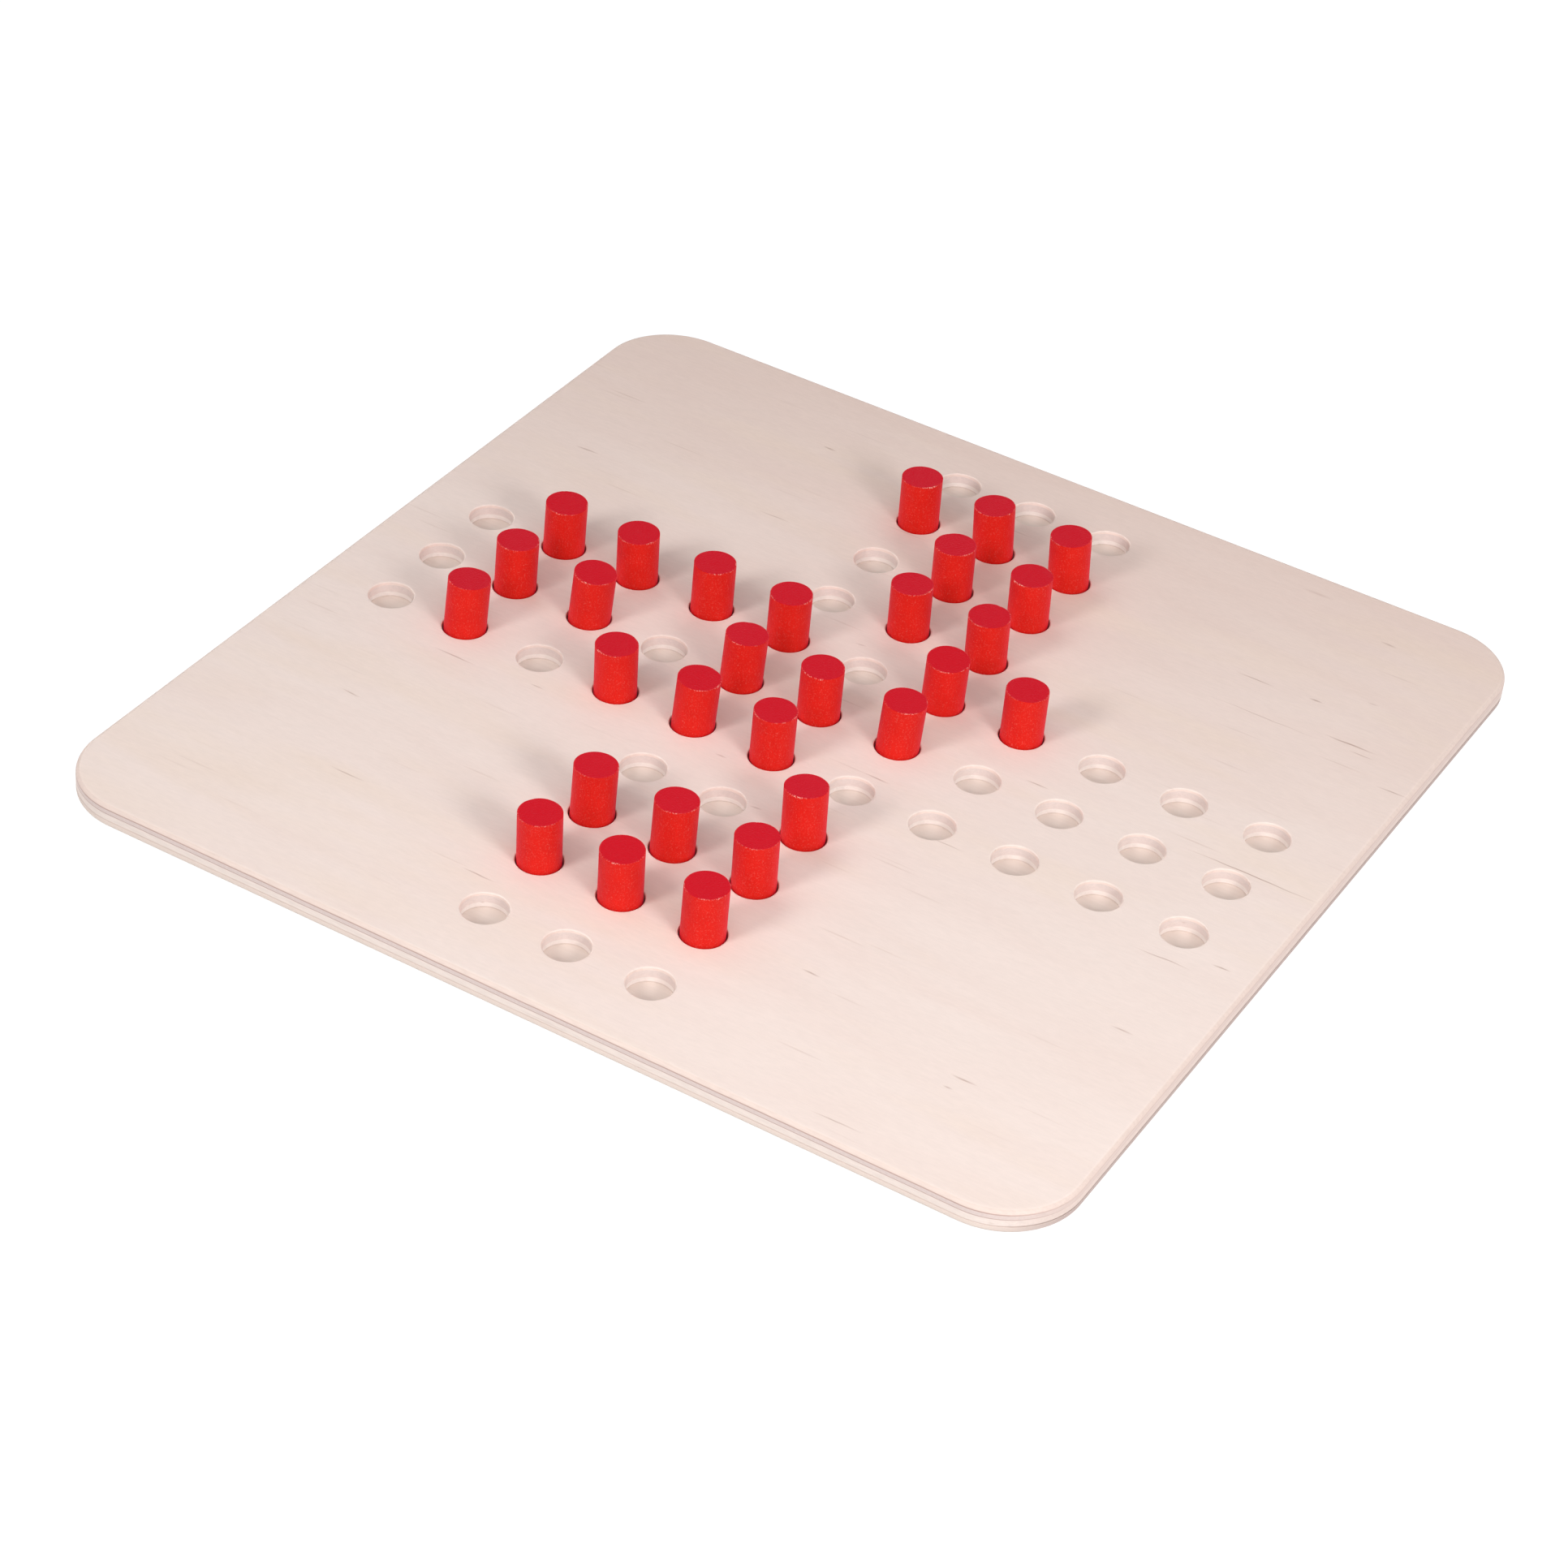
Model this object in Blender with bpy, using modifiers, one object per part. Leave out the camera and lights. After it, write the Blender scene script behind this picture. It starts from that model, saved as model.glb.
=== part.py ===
"""Peg solitaire board: a drilled plywood panel glued on a base sheet, with loose dowel pegs in its holes.

Metres, +Z up. The origin is the middle of the underside, +X runs along a row of holes and +Y from the
front row to the back row. Columns are lettered a to k along +X and rows numbered 1 to 11 along +Y, so
peg_f6 stands in the middle hole. Run it in Blender to get one object for each piece.
"""
import math
import string

import bmesh
import bpy
from mathutils import Matrix, Vector

# The game as it stands, back row first: O is a hole with a peg in it, + an empty hole
GAME = (
    "    +++    ",
    "    OOO    ",
    "    +OO    ",
    "    +OO    ",
    "+OOOO+OO+++",
    "+OO+OOO++++",
    "+O+OOO+++++",
    "    ++O    ",
    "    OOO    ",
    "    OOO    ",
    "    +++    ",
)
PEG = "O"
NO_HOLE = " "

# The board
HOLE_PITCH = 0.025
EDGE_MARGIN = 0.024  # from the middle of an outermost hole to the board's edge
CORNER_RADIUS = 0.022  # of the board's outline
PANEL_THICKNESS = 0.0045  # drilled right through
BASE_THICKNESS = 0.002  # undrilled, it closes the holes below
GLUE_LINE = 0.0003
TOP_EDGE_ROUND = 0.002
BASE_EDGE_ROUND = 0.001

# The pegs and what they stand in
PEG_DIAMETER = 0.012
PEG_LENGTH = 0.020
PEG_EDGE_BREAK = 0.0004
HOLE_CLEARANCE = 0.0004  # all round the peg
HOLE_RIM_EASE = 0.0005
SEAT_GAP = 0.0003  # between a peg's end and the base that it stands on

# How finely the round shapes are faceted
ROUND_SIDES = 24
CORNER_SEGMENTS = 8
EDGE_SEGMENTS = 3

# How far a cutter stands clear of the panel's two faces
CUTTER_OVERRUN = 0.002

PANEL_BOTTOM = BASE_THICKNESS + GLUE_LINE
BOARD_TOP = PANEL_BOTTOM + PANEL_THICKNESS
HOLE_RADIUS = PEG_DIAMETER / 2 + HOLE_CLEARANCE
PEG_SEAT = BASE_THICKNESS + SEAT_GAP


def clear_scene():
    """Removes every object that the scene starts with."""
    for thing in list(bpy.data.objects):
        bpy.data.objects.remove(thing, do_unlink=True)


def new_collection(name):
    """A collection of the scene for one kind of object."""
    collection = bpy.data.collections.new(name)
    bpy.context.scene.collection.children.link(collection)
    return collection


def new_material(name, colour, roughness):
    """A plain finish with no metal in it; the colour is linear."""
    material = bpy.data.materials.new(name)
    material.use_nodes = True
    shader = material.node_tree.nodes["Principled BSDF"]
    shader.inputs["Base Color"].default_value = (*colour, 1.0)
    shader.inputs["Roughness"].default_value = roughness
    shader.inputs["Metallic"].default_value = 0.0
    material.diffuse_color = (*colour, 1.0)
    return material


def mesh_from(bm, name, material):
    """Turns a finished bmesh into a mesh with its round sides shaded smooth."""
    mesh = bpy.data.meshes.new(name)
    bm.to_mesh(mesh)
    bm.free()
    mesh.materials.append(material)
    mesh.shade_smooth()
    mesh.set_sharp_from_angle(angle=math.radians(35))
    return mesh


def place(name, mesh, collection, parent, location):
    """Adds an object at a location in its parent's frame."""
    thing = bpy.data.objects.new(name, mesh)
    collection.objects.link(thing)
    thing.parent = parent
    thing.location = location
    return thing


def hole_places():
    """Yields each hole's name, its mark in the game and its middle in the board's plane."""
    rows = len(GAME)
    columns = len(GAME[0])
    for line, marks in enumerate(GAME):
        row = rows - 1 - line
        for column, mark in enumerate(marks):
            if mark == NO_HOLE:
                continue
            x = (column - (columns - 1) / 2) * HOLE_PITCH
            y = (row - (rows - 1) / 2) * HOLE_PITCH
            yield f"{string.ascii_lowercase[column]}{row + 1}", mark, x, y


def board_size():
    """The board's length along X and along Y, from the game's columns and rows."""
    along_x = (len(GAME[0]) - 1) * HOLE_PITCH + 2 * EDGE_MARGIN
    along_y = (len(GAME) - 1) * HOLE_PITCH + 2 * EDGE_MARGIN
    return along_x, along_y


def rounded_sheet(thickness, rounded_face, edge_round):
    """A sheet on z = 0 with round corners, and with the edge of its top (+1) or bottom (-1) face rounded."""
    bm = bmesh.new()
    along_x, along_y = board_size()
    bmesh.ops.create_cube(bm, size=1.0)
    bmesh.ops.scale(bm, verts=bm.verts, vec=(along_x, along_y, thickness))
    bmesh.ops.translate(bm, verts=bm.verts, vec=(0, 0, thickness / 2))
    upright = [edge for edge in bm.edges if abs((edge.verts[0].co - edge.verts[1].co).z) > thickness / 2]
    bmesh.ops.bevel(bm, geom=upright, offset=CORNER_RADIUS, offset_type="OFFSET", segments=CORNER_SEGMENTS,
                    profile=0.5, affect="EDGES", clamp_overlap=True)
    face = max(bm.faces, key=lambda f: f.normal.z * rounded_face)
    bmesh.ops.bevel(bm, geom=list(face.edges), offset=edge_round, offset_type="OFFSET", segments=EDGE_SEGMENTS,
                    profile=0.5, affect="EDGES", clamp_overlap=True)
    return bm


def add_hole_cutter(bm, x, y):
    """Adds one drill's shape: straight through the panel, then opening at 45 degrees over the eased rim."""
    bottom = -CUTTER_OVERRUN
    rim = PANEL_THICKNESS - HOLE_RIM_EASE
    middle = Vector((x, y, (bottom + rim) / 2))
    made = bmesh.ops.create_cone(bm, cap_ends=True, segments=ROUND_SIDES, radius1=HOLE_RADIUS,
                                 radius2=HOLE_RADIUS, depth=rim - bottom, matrix=Matrix.Translation(middle))
    faces = {face for vert in made["verts"] for face in vert.link_faces}
    cap = max(faces, key=lambda f: f.calc_center_median().z)
    flare = bmesh.ops.extrude_discrete_faces(bm, faces=[cap])["faces"][0]
    rise = HOLE_RIM_EASE + CUTTER_OVERRUN
    spread = (HOLE_RADIUS + rise) / HOLE_RADIUS
    bmesh.ops.translate(bm, verts=flare.verts, vec=(0, 0, rise))
    bmesh.ops.scale(bm, verts=flare.verts, vec=(spread, spread, 1), space=Matrix.Translation((-x, -y, 0)))


def hole_cutters(collection, parent, material):
    """One guide object with every hole's cutter in it, in the panel's frame."""
    bm = bmesh.new()
    for _, _, x, y in hole_places():
        add_hole_cutter(bm, x, y)
    cutters = place("hole_cutters", mesh_from(bm, "hole_cutters", material), collection, parent, (0, 0, 0))
    cutters.hide_render = True
    cutters.display_type = "WIRE"
    return cutters


def drilled_panel(parts, cutters, parent, material):
    """The upper sheet: a round-edged panel with a hole through it at every place of the game."""
    sheet = rounded_sheet(PANEL_THICKNESS, +1, TOP_EDGE_ROUND)
    panel = place("drilled_panel", mesh_from(sheet, "drilled_panel", material), parts, parent,
                  (0, 0, PANEL_BOTTOM))
    drill = panel.modifiers.new("holes", "BOOLEAN")
    drill.operation = "DIFFERENCE"
    drill.solver = "EXACT"
    drill.object = hole_cutters(cutters, panel, material)
    return panel


def base_sheet(parts, parent, material):
    """The undrilled lower sheet, whose upper face is the floor of every hole."""
    sheet = rounded_sheet(BASE_THICKNESS, -1, BASE_EDGE_ROUND)
    return place("base_sheet", mesh_from(sheet, "base_sheet", material), parts, parent, (0, 0, 0))


def dowel(material):
    """The mesh that all pegs share: a length of round rod standing on z = 0."""
    bm = bmesh.new()
    bmesh.ops.create_cone(bm, cap_ends=True, segments=ROUND_SIDES, radius1=PEG_DIAMETER / 2,
                          radius2=PEG_DIAMETER / 2, depth=PEG_LENGTH,
                          matrix=Matrix.Translation((0, 0, PEG_LENGTH / 2)))
    return mesh_from(bm, "dowel", material)


def pegs(parts, panel, material):
    """One peg in each filled hole, its origin on the hole's axis at the end that it stands on."""
    rod = dowel(material)
    for name, mark, x, y in hole_places():
        if mark != PEG:
            continue
        peg = place(f"peg_{name}", rod, parts, panel, (x, y, PEG_SEAT - PANEL_BOTTOM))
        broken = peg.modifiers.new("broken_edges", "BEVEL")
        broken.width = PEG_EDGE_BREAK
        broken.segments = 1
        broken.limit_method = "ANGLE"
        broken.angle_limit = math.radians(60)


def main():
    """Builds the whole set."""
    clear_scene()
    parts = new_collection("peg_solitaire_board")
    cutters = new_collection("solitaire_cutters")
    root = place("solitaire_set", None, parts, None, (0, 0, 0))
    panel_wood = new_material("birch_plywood", (0.84, 0.72, 0.66), 0.55)
    base_wood = new_material("birch_base", (0.78, 0.66, 0.58), 0.6)
    lacquer = new_material("red_lacquer", (0.73, 0.018, 0.016), 0.35)
    base_sheet(parts, root, base_wood)
    panel = drilled_panel(parts, cutters, root, panel_wood)
    pegs(parts, panel, lacquer)


main()
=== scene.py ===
"""Looks of a peg solitaire board: drilled birch plywood, and red lacquered pegs part way through a game.

Everything is in metres in the frame's own axes: +X along a row of holes and along the grain of the face,
+Y from the front row to the back row, +Z up from the underside.
"""
import logging
import math
from dataclasses import dataclass
from enum import Enum
from typing import Any, Sequence

import bpy
import numpy as np
from bpy.types import ID, Material, Mesh, Node, NodeSocket, NodeTree, Object
from mathutils import Matrix, Vector


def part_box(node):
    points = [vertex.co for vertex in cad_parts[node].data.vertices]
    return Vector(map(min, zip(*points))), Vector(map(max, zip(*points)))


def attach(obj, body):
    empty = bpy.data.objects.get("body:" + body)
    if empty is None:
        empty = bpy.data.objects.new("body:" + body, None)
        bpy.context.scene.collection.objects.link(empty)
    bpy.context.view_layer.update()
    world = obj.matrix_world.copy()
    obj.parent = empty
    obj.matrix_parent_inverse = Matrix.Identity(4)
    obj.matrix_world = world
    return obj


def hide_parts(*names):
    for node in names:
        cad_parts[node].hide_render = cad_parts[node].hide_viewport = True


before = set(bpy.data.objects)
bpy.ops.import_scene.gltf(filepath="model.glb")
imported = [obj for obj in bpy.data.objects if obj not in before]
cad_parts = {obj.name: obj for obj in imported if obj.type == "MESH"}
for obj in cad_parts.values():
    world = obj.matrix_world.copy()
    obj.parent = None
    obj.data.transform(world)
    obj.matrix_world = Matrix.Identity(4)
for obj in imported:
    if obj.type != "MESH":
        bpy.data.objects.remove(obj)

Triple = tuple[float, float, float]
Value = NodeSocket | float
Colour = NodeSocket | str

LOG = logging.getLogger("solitaire")
MM = 0.001
PEG = "peg_"  # how the names of the pegs' nodes and bodies begin
SEED = 11
WELD = 0.0001 * MM  # points nearer than this are one
CREASE = math.radians(40)  # edges that turn by more are shaded sharp
HAIR = 0.02 * MM  # gap between two faces that would otherwise lie in one plane


def linear(colour: str) -> tuple[float, ...]:
    """Turns an sRGB hex colour into a linear one.

    Args:
        colour: a hash and six hex digits.

    Returns:
        Red, green and blue as light, and an alpha of 1.
    """
    code = np.array([int(colour[at:at + 2], 16) for at in (1, 3, 5)]) / 255
    light = np.where(code <= 0.04045, code / 12.92, ((code + 0.055) / 1.055) ** 2.4)
    return (*light.tolist(), 1.0)


def per_size(*sizes_mm: float) -> tuple[float, ...]:
    """Pattern scales, on coordinates in metres, for features of these sizes in millimetres."""
    return tuple(1000.0 / size for size in sizes_mm)


def add_node(tree: NodeTree, kind: str, sockets: dict[Any, Any] | None = None,
             stops: Sequence[tuple[float, str]] = (), **settings: Any) -> Node:
    """Adds one shader node with its settings and links.

    Args:
        tree: the node tree that it goes into.
        kind: its type, without the leading ShaderNode.
        sockets: input name or number, to a value, a hex colour or the output that feeds it.
        stops: place and hex colour of each stop, for a node that has a colour ramp.
        settings: the node's own properties.

    Returns:
        The new node.
    """
    node = tree.nodes.new("ShaderNode" + kind)
    for name, value in settings.items():
        setattr(node, name, value)
    for name, value in (sockets or {}).items():
        if isinstance(value, NodeSocket):
            tree.links.new(value, node.inputs[name])
        else:
            node.inputs[name].default_value = linear(value) if isinstance(value, str) else value
    for number, (place, colour) in enumerate(stops):
        elements = node.color_ramp.elements
        stop = elements[number] if number < min(2, len(elements)) else elements.new(place)
        stop.position = place
        stop.color = linear(colour)
    return node


def new_tree(name: str) -> tuple[Material, NodeTree]:
    """Starts a material.

    Args:
        name: its name.

    Returns:
        The material and its emptied node tree.
    """
    material = bpy.data.materials.new(name)
    material.use_nodes = True
    material.node_tree.nodes.clear()
    return material, material.node_tree


class Paint:
    """The nodes of a new material, and the place and direction of the surface that they colour.

    Attributes:
        material, tree: the material and its nodes.
        spot: the place on the surface, on the object's own axes.
        facing_x, facing_z: how far the surface looks along X and along Z, from -1 to 1.
    """

    def __init__(self, name: str) -> None:
        """Starts a material with that name."""
        self.material, self.tree = new_tree(name)
        here = self.add("TexCoord")
        self.spot = here.outputs["Object"]
        self.facing_x, _, self.facing_z = self.add("SeparateXYZ", {0: here.outputs["Normal"]}).outputs

    def add(self, kind: str, sockets: dict[Any, Any] | None = None, **settings: Any) -> Node:
        """Adds one node, as add_node does."""
        return add_node(self.tree, kind, sockets, **settings)

    def coordinates(self) -> tuple[NodeSocket, ...]:
        """X, Y and Z of the place."""
        return tuple(self.add("SeparateXYZ", {0: self.spot}).outputs)

    def calc(self, operation: str, *values: Value, **settings: Any) -> NodeSocket:
        """Works out one operation on up to three values."""
        return self.add("Math", dict(enumerate(values)), operation=operation, **settings).outputs[0]

    def remap(self, value: Value, low: float = 0.0, high: float = 1.0, to_low: Value = 0.0,
              to_high: Value = 1.0) -> NodeSocket:
        """Carries a value from the range low to high to another one, and holds it at that one's ends."""
        return self.add("MapRange", {0: value, 1: low, 2: high, 3: to_low, 4: to_high}).outputs[0]

    def mix(self, share: Value, first: Colour, second: Colour, **settings: Any) -> NodeSocket:
        """Mixes two colours, by the share of the second."""
        return self.add("Mix", {0: share, 6: first, 7: second}, data_type="RGBA", **settings).outputs[2]

    def noise(self, sizes_mm: Sequence[float], detail: float, roughness: float = 0.5, distortion: float = 0.0,
              start: Triple = (0.0, 0.0, 0.0)) -> NodeSocket:
        """Adds a cloudy noise.

        Args:
            sizes_mm: sizes of its features along X, Y and Z.
            detail, roughness, distortion: the noise's own settings.
            start: where in the noise the object's middle lies.

        Returns:
            The noise, from 0 to 1.
        """
        place = self.add("Mapping", {0: self.spot, 1: start, 3: per_size(*sizes_mm)})
        return self.add("TexNoise", {"Vector": place.outputs[0], "Scale": 1.0, "Detail": detail,
                                     "Roughness": roughness, "Distortion": distortion}).outputs[0]

    def worn(self) -> NodeSocket:
        """How worn the surface is, from the mesh."""
        return self.add("Attribute", attribute_name="worn").outputs["Fac"]

    def bump(self, strength: float, depth_mm: float, height: NodeSocket) -> NodeSocket:
        """Shades the surface as if it stood up by a height of 0 to 1 times a depth."""
        sockets = {"Strength": strength, "Distance": depth_mm * MM, "Height": height}
        return self.add("Bump", sockets).outputs[0]

    def finish(self, sockets: dict[str, Any]) -> Material:
        """Ends the nodes in one shader.

        Args:
            sockets: the shader's inputs by name.

        Returns:
            The finished material.
        """
        shader = self.add("BsdfPrincipled", {"IOR": 1.5, **sockets})
        self.add("OutputMaterial", {"Surface": shader.outputs[0]})
        return self.material


class Surface:
    """Patches of points and faces that become one closed, welded mesh."""

    def __init__(self) -> None:
        """Starts with no patches."""
        self.points: list[np.ndarray] = []
        self.worn: list[np.ndarray] = []
        self.faces: list[np.ndarray] = []
        self.count = 0

    def add(self, points: np.ndarray, worn: np.ndarray | None = None) -> np.ndarray:
        """Adds points without faces.

        Args:
            points: as (..., 3).
            worn: how worn each point is, from 0 to 1, in the same shape without the last axis.

        Returns:
            The points' numbers, in that shape too.
        """
        number = self.count + np.arange(points[..., 0].size).reshape(points.shape[:-1])
        self.points.append(points.reshape(-1, 3))
        self.worn.append((np.zeros(number.shape) if worn is None else worn).ravel())
        self.count += number.size
        return number

    def sweep(self, rings: np.ndarray, worn: np.ndarray | None = None) -> np.ndarray:
        """Adds closed rings and the quads between each ring and the next.

        A quad faces the side from which the rings follow each other to the right of the way round.

        Args:
            rings: points, as (..., ring, point round it, 3).
            worn: as for add.

        Returns:
            The points' numbers, as (..., ring, point round it).
        """
        number = self.add(rings, worn)
        ahead = np.roll(number, -1, axis=-1)
        self.faces.append(np.stack([number[..., :-1, :], number[..., 1:, :], ahead[..., 1:, :],
                                    ahead[..., :-1, :]], axis=-1).reshape(-1, 4))
        return number

    def cap(self, loops: np.ndarray) -> None:
        """Adds one flat face for each loop of point numbers, which runs to the left seen from outside."""
        self.faces.append(loops)

    def close(self, rings: np.ndarray) -> None:
        """Closes both ends of one sweep, given its points' numbers."""
        self.cap(rings[:1])
        self.cap(rings[-1:, ::-1])

    def mesh(self, name: str, material: Material) -> Mesh:
        """Welds the points that lie in one place and makes the mesh.

        Args:
            name, material: of the mesh.

        Returns:
            A smooth-shaded mesh with the attribute "worn" on its points.
        """
        points = np.concatenate(self.points)
        place = np.round(points / WELD).astype(np.int64)
        _, first, number = np.unique(place, axis=0, return_index=True, return_inverse=True)
        number = number.ravel()
        corners = np.concatenate([number[faces].ravel() for faces in self.faces])
        sides = np.concatenate([np.full(len(faces), faces.shape[1]) for faces in self.faces])
        mesh = bpy.data.meshes.new(name)
        mesh.vertices.add(len(first))
        mesh.vertices.foreach_set("co", points[first].astype(np.float32).ravel())
        mesh.loops.add(len(corners))
        mesh.loops.foreach_set("vertex_index", corners.astype(np.int32))
        mesh.polygons.add(len(sides))
        mesh.polygons.foreach_set("loop_start", (np.cumsum(sides) - sides).astype(np.int32))
        mesh.polygons.foreach_set("use_smooth", np.ones(len(sides), dtype=bool))
        worn = mesh.attributes.new("worn", "FLOAT", "POINT")
        worn.data.foreach_set("value", np.concatenate(self.worn)[first].astype(np.float32))
        mesh.materials.append(material)
        mesh.update(calc_edges=True)
        mesh.validate()
        mesh.set_sharp_from_angle(angle=CREASE)
        return mesh


def show(data: ID) -> Object:
    """Puts something into the scene.

    Args:
        data: a mesh, lamp or camera.

    Returns:
        Its object, which has the same name.
    """
    shown = bpy.data.objects.new(data.name, data)
    bpy.context.scene.collection.objects.link(shown)
    return shown


def add_piece(mesh: Mesh, body: str, node: str) -> None:
    """Shows a finished mesh in place of a solid.

    Args:
        mesh: the piece, already where it belongs.
        body: the body that it moves with.
        node: the solid that it stands for.
    """
    piece = show(mesh)
    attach(piece, body)
    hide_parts(node)
    LOG.info("%s: %d faces, rides on %s", piece.name, len(mesh.polygons), body)


@dataclass(frozen=True)
class GrainMark:
    """One dark line in the face veneer: its middle, length and width in millimetres, and how dark it is."""

    x: float
    y: float
    length: float
    width: float
    depth: float


# The lines that stand out on the face, from the back edge to the front edge
GRAIN_MARKS = [GrainMark(*mark) for mark in (
    (86.5, 139.6, 11, 1.6, 0.25), (114, 128.7, 6, 1.0, 0.45), (-66, 118.5, 5, 0.9, 0.6),
    (122.5, 98.8, 4, 0.7, 0.35), (108.7, 90.5, 4.5, 0.8, 0.7), (90.5, 89.3, 13, 0.6, 0.6),
    (125.5, 77.4, 17, 0.8, 0.8), (-60, 76.3, 12, 0.6, 0.45), (130, 74.7, 8, 0.6, 0.5),
    (100, 74, 36, 0.5, 0.4), (-123, 72.6, 9, 0.8, 0.6), (144, 64.2, 10, 0.7, 0.6),
    (-7, 35.5, 4, 0.7, 0.4), (64.2, 7.9, 8, 0.7, 0.6), (129, 7.3, 42, 0.6, 0.8),
    (28, -16, 9, 0.7, 0.6), (57, -30, 12, 0.5, 0.5), (139.5, -32.5, 6, 0.7, 0.7),
    (-11, -33, 4, 0.7, 0.5), (-68, -36.7, 5, 0.6, 0.5), (125.5, -38, 17, 0.6, 0.6),
    (-94, -38.6, 15, 0.7, 0.6), (8.5, -46.8, 4, 0.7, 0.5), (130, -69.6, 7, 0.8, 0.5),
    (-106.5, -69.6, 7, 0.7, 0.5), (55.5, -97.1, 6, 0.8, 0.6), (-86, -99.6, 12, 0.7, 0.5),
    (107, -110, 8, 0.9, 0.6), (105, -114.8, 3, 0.8, 0.5), (-34, -114.7, 11, 0.7, 0.6),
    (89, -142, 16, 0.6, 0.5))]


@dataclass(frozen=True)
class BirchPlywood:
    """Rotary-cut birch plywood, sanded, whitened a little and sealed matt.

    The face is pale and pinkish with hardly any figure: soft clouds, hair-fine streaks along the grain, short
    flecks and a few thin lines. The edge and the walls of holes show the plies as thin bands.

    Attributes:
        face, cloud_and_back_shade, warm, fleck, line: tones of the face and of what is in it; the second also
        gives the painted shade that deepens the face towards the back.
        trim, cross_ply, inner_ply, joint, glue: bands of the edge.
        end_grain, seam: tones where the edge looks along X, and of the darker line in its seam.
        bored_x_grain_and_light, bored_y: bands of the holes' walls from the joint up, where they look along X
            and Y; the first are paler, partly for the cross ply's long grain there and partly as painted
            light on the holes' side walls.
        cut_streaks, face_streaks: darkest and palest streak, as shares of the tone.
        wander_mm, wander_depth_mm: length and height of the plies' slow waves.
        sway_mm, sway_depth_mm: length and width of the thin lines' bends.
    """

    name: str = "birch_plywood"
    face: str = "#f3e2da"
    cloud_and_back_shade: str = "#ead3c9"
    warm: str = "#f0dbca"
    fleck: str = "#b08a78"
    line: str = "#a07665"
    trim: str = "#e6d2c8"
    cross_ply: str = "#e2d0cb"
    inner_ply: str = "#f2e3db"
    joint: str = "#dfcac0"
    glue: str = "#c0a198"
    end_grain: str = "#e6cfc6"
    seam: str = "#9c857d"
    bored_x_grain_and_light: tuple[str, ...] = ("#dfcfc7", "#f4eae5", "#efdfd9", "#f4e1d8")
    bored_y: tuple[str, ...] = ("#dfcfc7", "#f0e5e0", "#e4d4cf", "#f4e1d8")
    roughness: float = 0.55
    specular: float = 0.2
    cut_streaks: tuple[float, float] = (0.93, 1.03)
    face_streaks: tuple[float, float] = (0.97, 1.014)
    cloud_mm: Triple = (70.0, 15.0, 15.0)
    streak_mm: Triple = (3.5, 0.8, 0.6)
    cross_streak_mm: Triple = (0.7, 24.0, 0.5)
    fleck_mm: Triple = (34.0, 1.6, 1.6)
    wander_mm: float = 14.0
    wander_depth_mm: float = 0.12
    sway_mm: float = 12.0
    sway_depth_mm: float = 0.8

    def bands(self, paint: Paint, panel: "DrilledPanel", height: NodeSocket, tops: Sequence[float],
              colours: Sequence[str]) -> NodeSocket:
        """Bands of colour by height, a little blurred where they meet.

        Args:
            paint: the material.
            panel: the panel whose plies they are.
            height: the height of the place.
            tops, colours: of each band, from the joint upwards.

        Returns:
            The colour.
        """
        blur = 0.04 * MM
        ends = zip((panel.bottom, *tops), tops, colours)
        stops = [((place - panel.bottom) / (panel.top - panel.bottom), colour)
                 for low, high, colour in ends for place in (low + blur, high - blur)]
        share = paint.remap(height, panel.bottom, panel.top)
        return paint.add("ValToRGB", {0: share}, stops=stops).outputs[0]

    def cut_tone(self, paint: Paint, panel: "DrilledPanel", height: NodeSocket) -> NodeSocket:
        """Tone of the edge and of the holes' walls.

        The edge shows the plies, and an even tone at the fibres' ends, where it looks along X, with a darker
        line in the seam of the two sheets. The walls are cleanly cut, so their bands are fewer and paler;
        where they look along X they are paler still, partly for the cross ply's long grain there and partly
        as painted light on the holes' side walls.

        Args:
            paint, panel, height: as for bands.

        Returns:
            The colour.
        """
        across = paint.calc("MULTIPLY", paint.facing_x, paint.facing_x)
        tops = (panel.joint_top, panel.inner_top, panel.line_top, panel.cross_top, panel.glue_top,
                panel.top)
        tones = (self.joint, self.inner_ply, self.glue, self.cross_ply, self.glue, self.trim)
        plies = self.bands(paint, panel, height, tops, tones)
        sawn = paint.mix(paint.remap(across, to_high=0.75), plies, self.end_grain)
        bed = paint.remap(height, panel.joint_top + 0.1 * MM, panel.joint_top)
        # a darker line over the joint band, where the edge looks along X
        edge = paint.mix(paint.calc("MULTIPLY", bed, across), sawn, self.seam)
        tops = (panel.joint_top, panel.bored_top, panel.glue_top, panel.top)
        # walls that look along X are paler: the cross ply's long grain there, and painted light on the holes'
        # side walls
        wall = paint.mix(across, self.bands(paint, panel, height, tops, self.bored_y),
                         self.bands(paint, panel, height, tops, self.bored_x_grain_and_light))
        return paint.mix(paint.worn(), wall, edge)

    def face_tone(self, paint: Paint, panel: "DrilledPanel") -> NodeSocket:
        """Tone of the face: soft clouds, a painted shade that deepens it towards the back, and warmer
        patches.

        Args:
            paint, panel: as for bands.

        Returns:
            The colour.
        """
        clouds = paint.noise(self.cloud_mm, detail=3.0, distortion=0.6)
        cloudy = paint.remap(clouds, 0.3, 0.7, -0.15, 0.15)
        # painted shade: the face deepens from the middle to the back edge, standing in for light that falls
        # off towards the back
        painted_shade_back = paint.remap(paint.coordinates()[1], 0.0, panel.half, 0.1, 0.95)
        sheet = paint.mix(paint.calc("ADD", cloudy, painted_shade_back), self.face, self.cloud_and_back_shade)
        warmth = paint.noise(self.cloud_mm, detail=2.0, start=(3.0, 7.0, 0.0))
        return paint.mix(paint.remap(warmth, 0.5, 0.75, to_high=0.4), sheet, self.warm)

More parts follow.
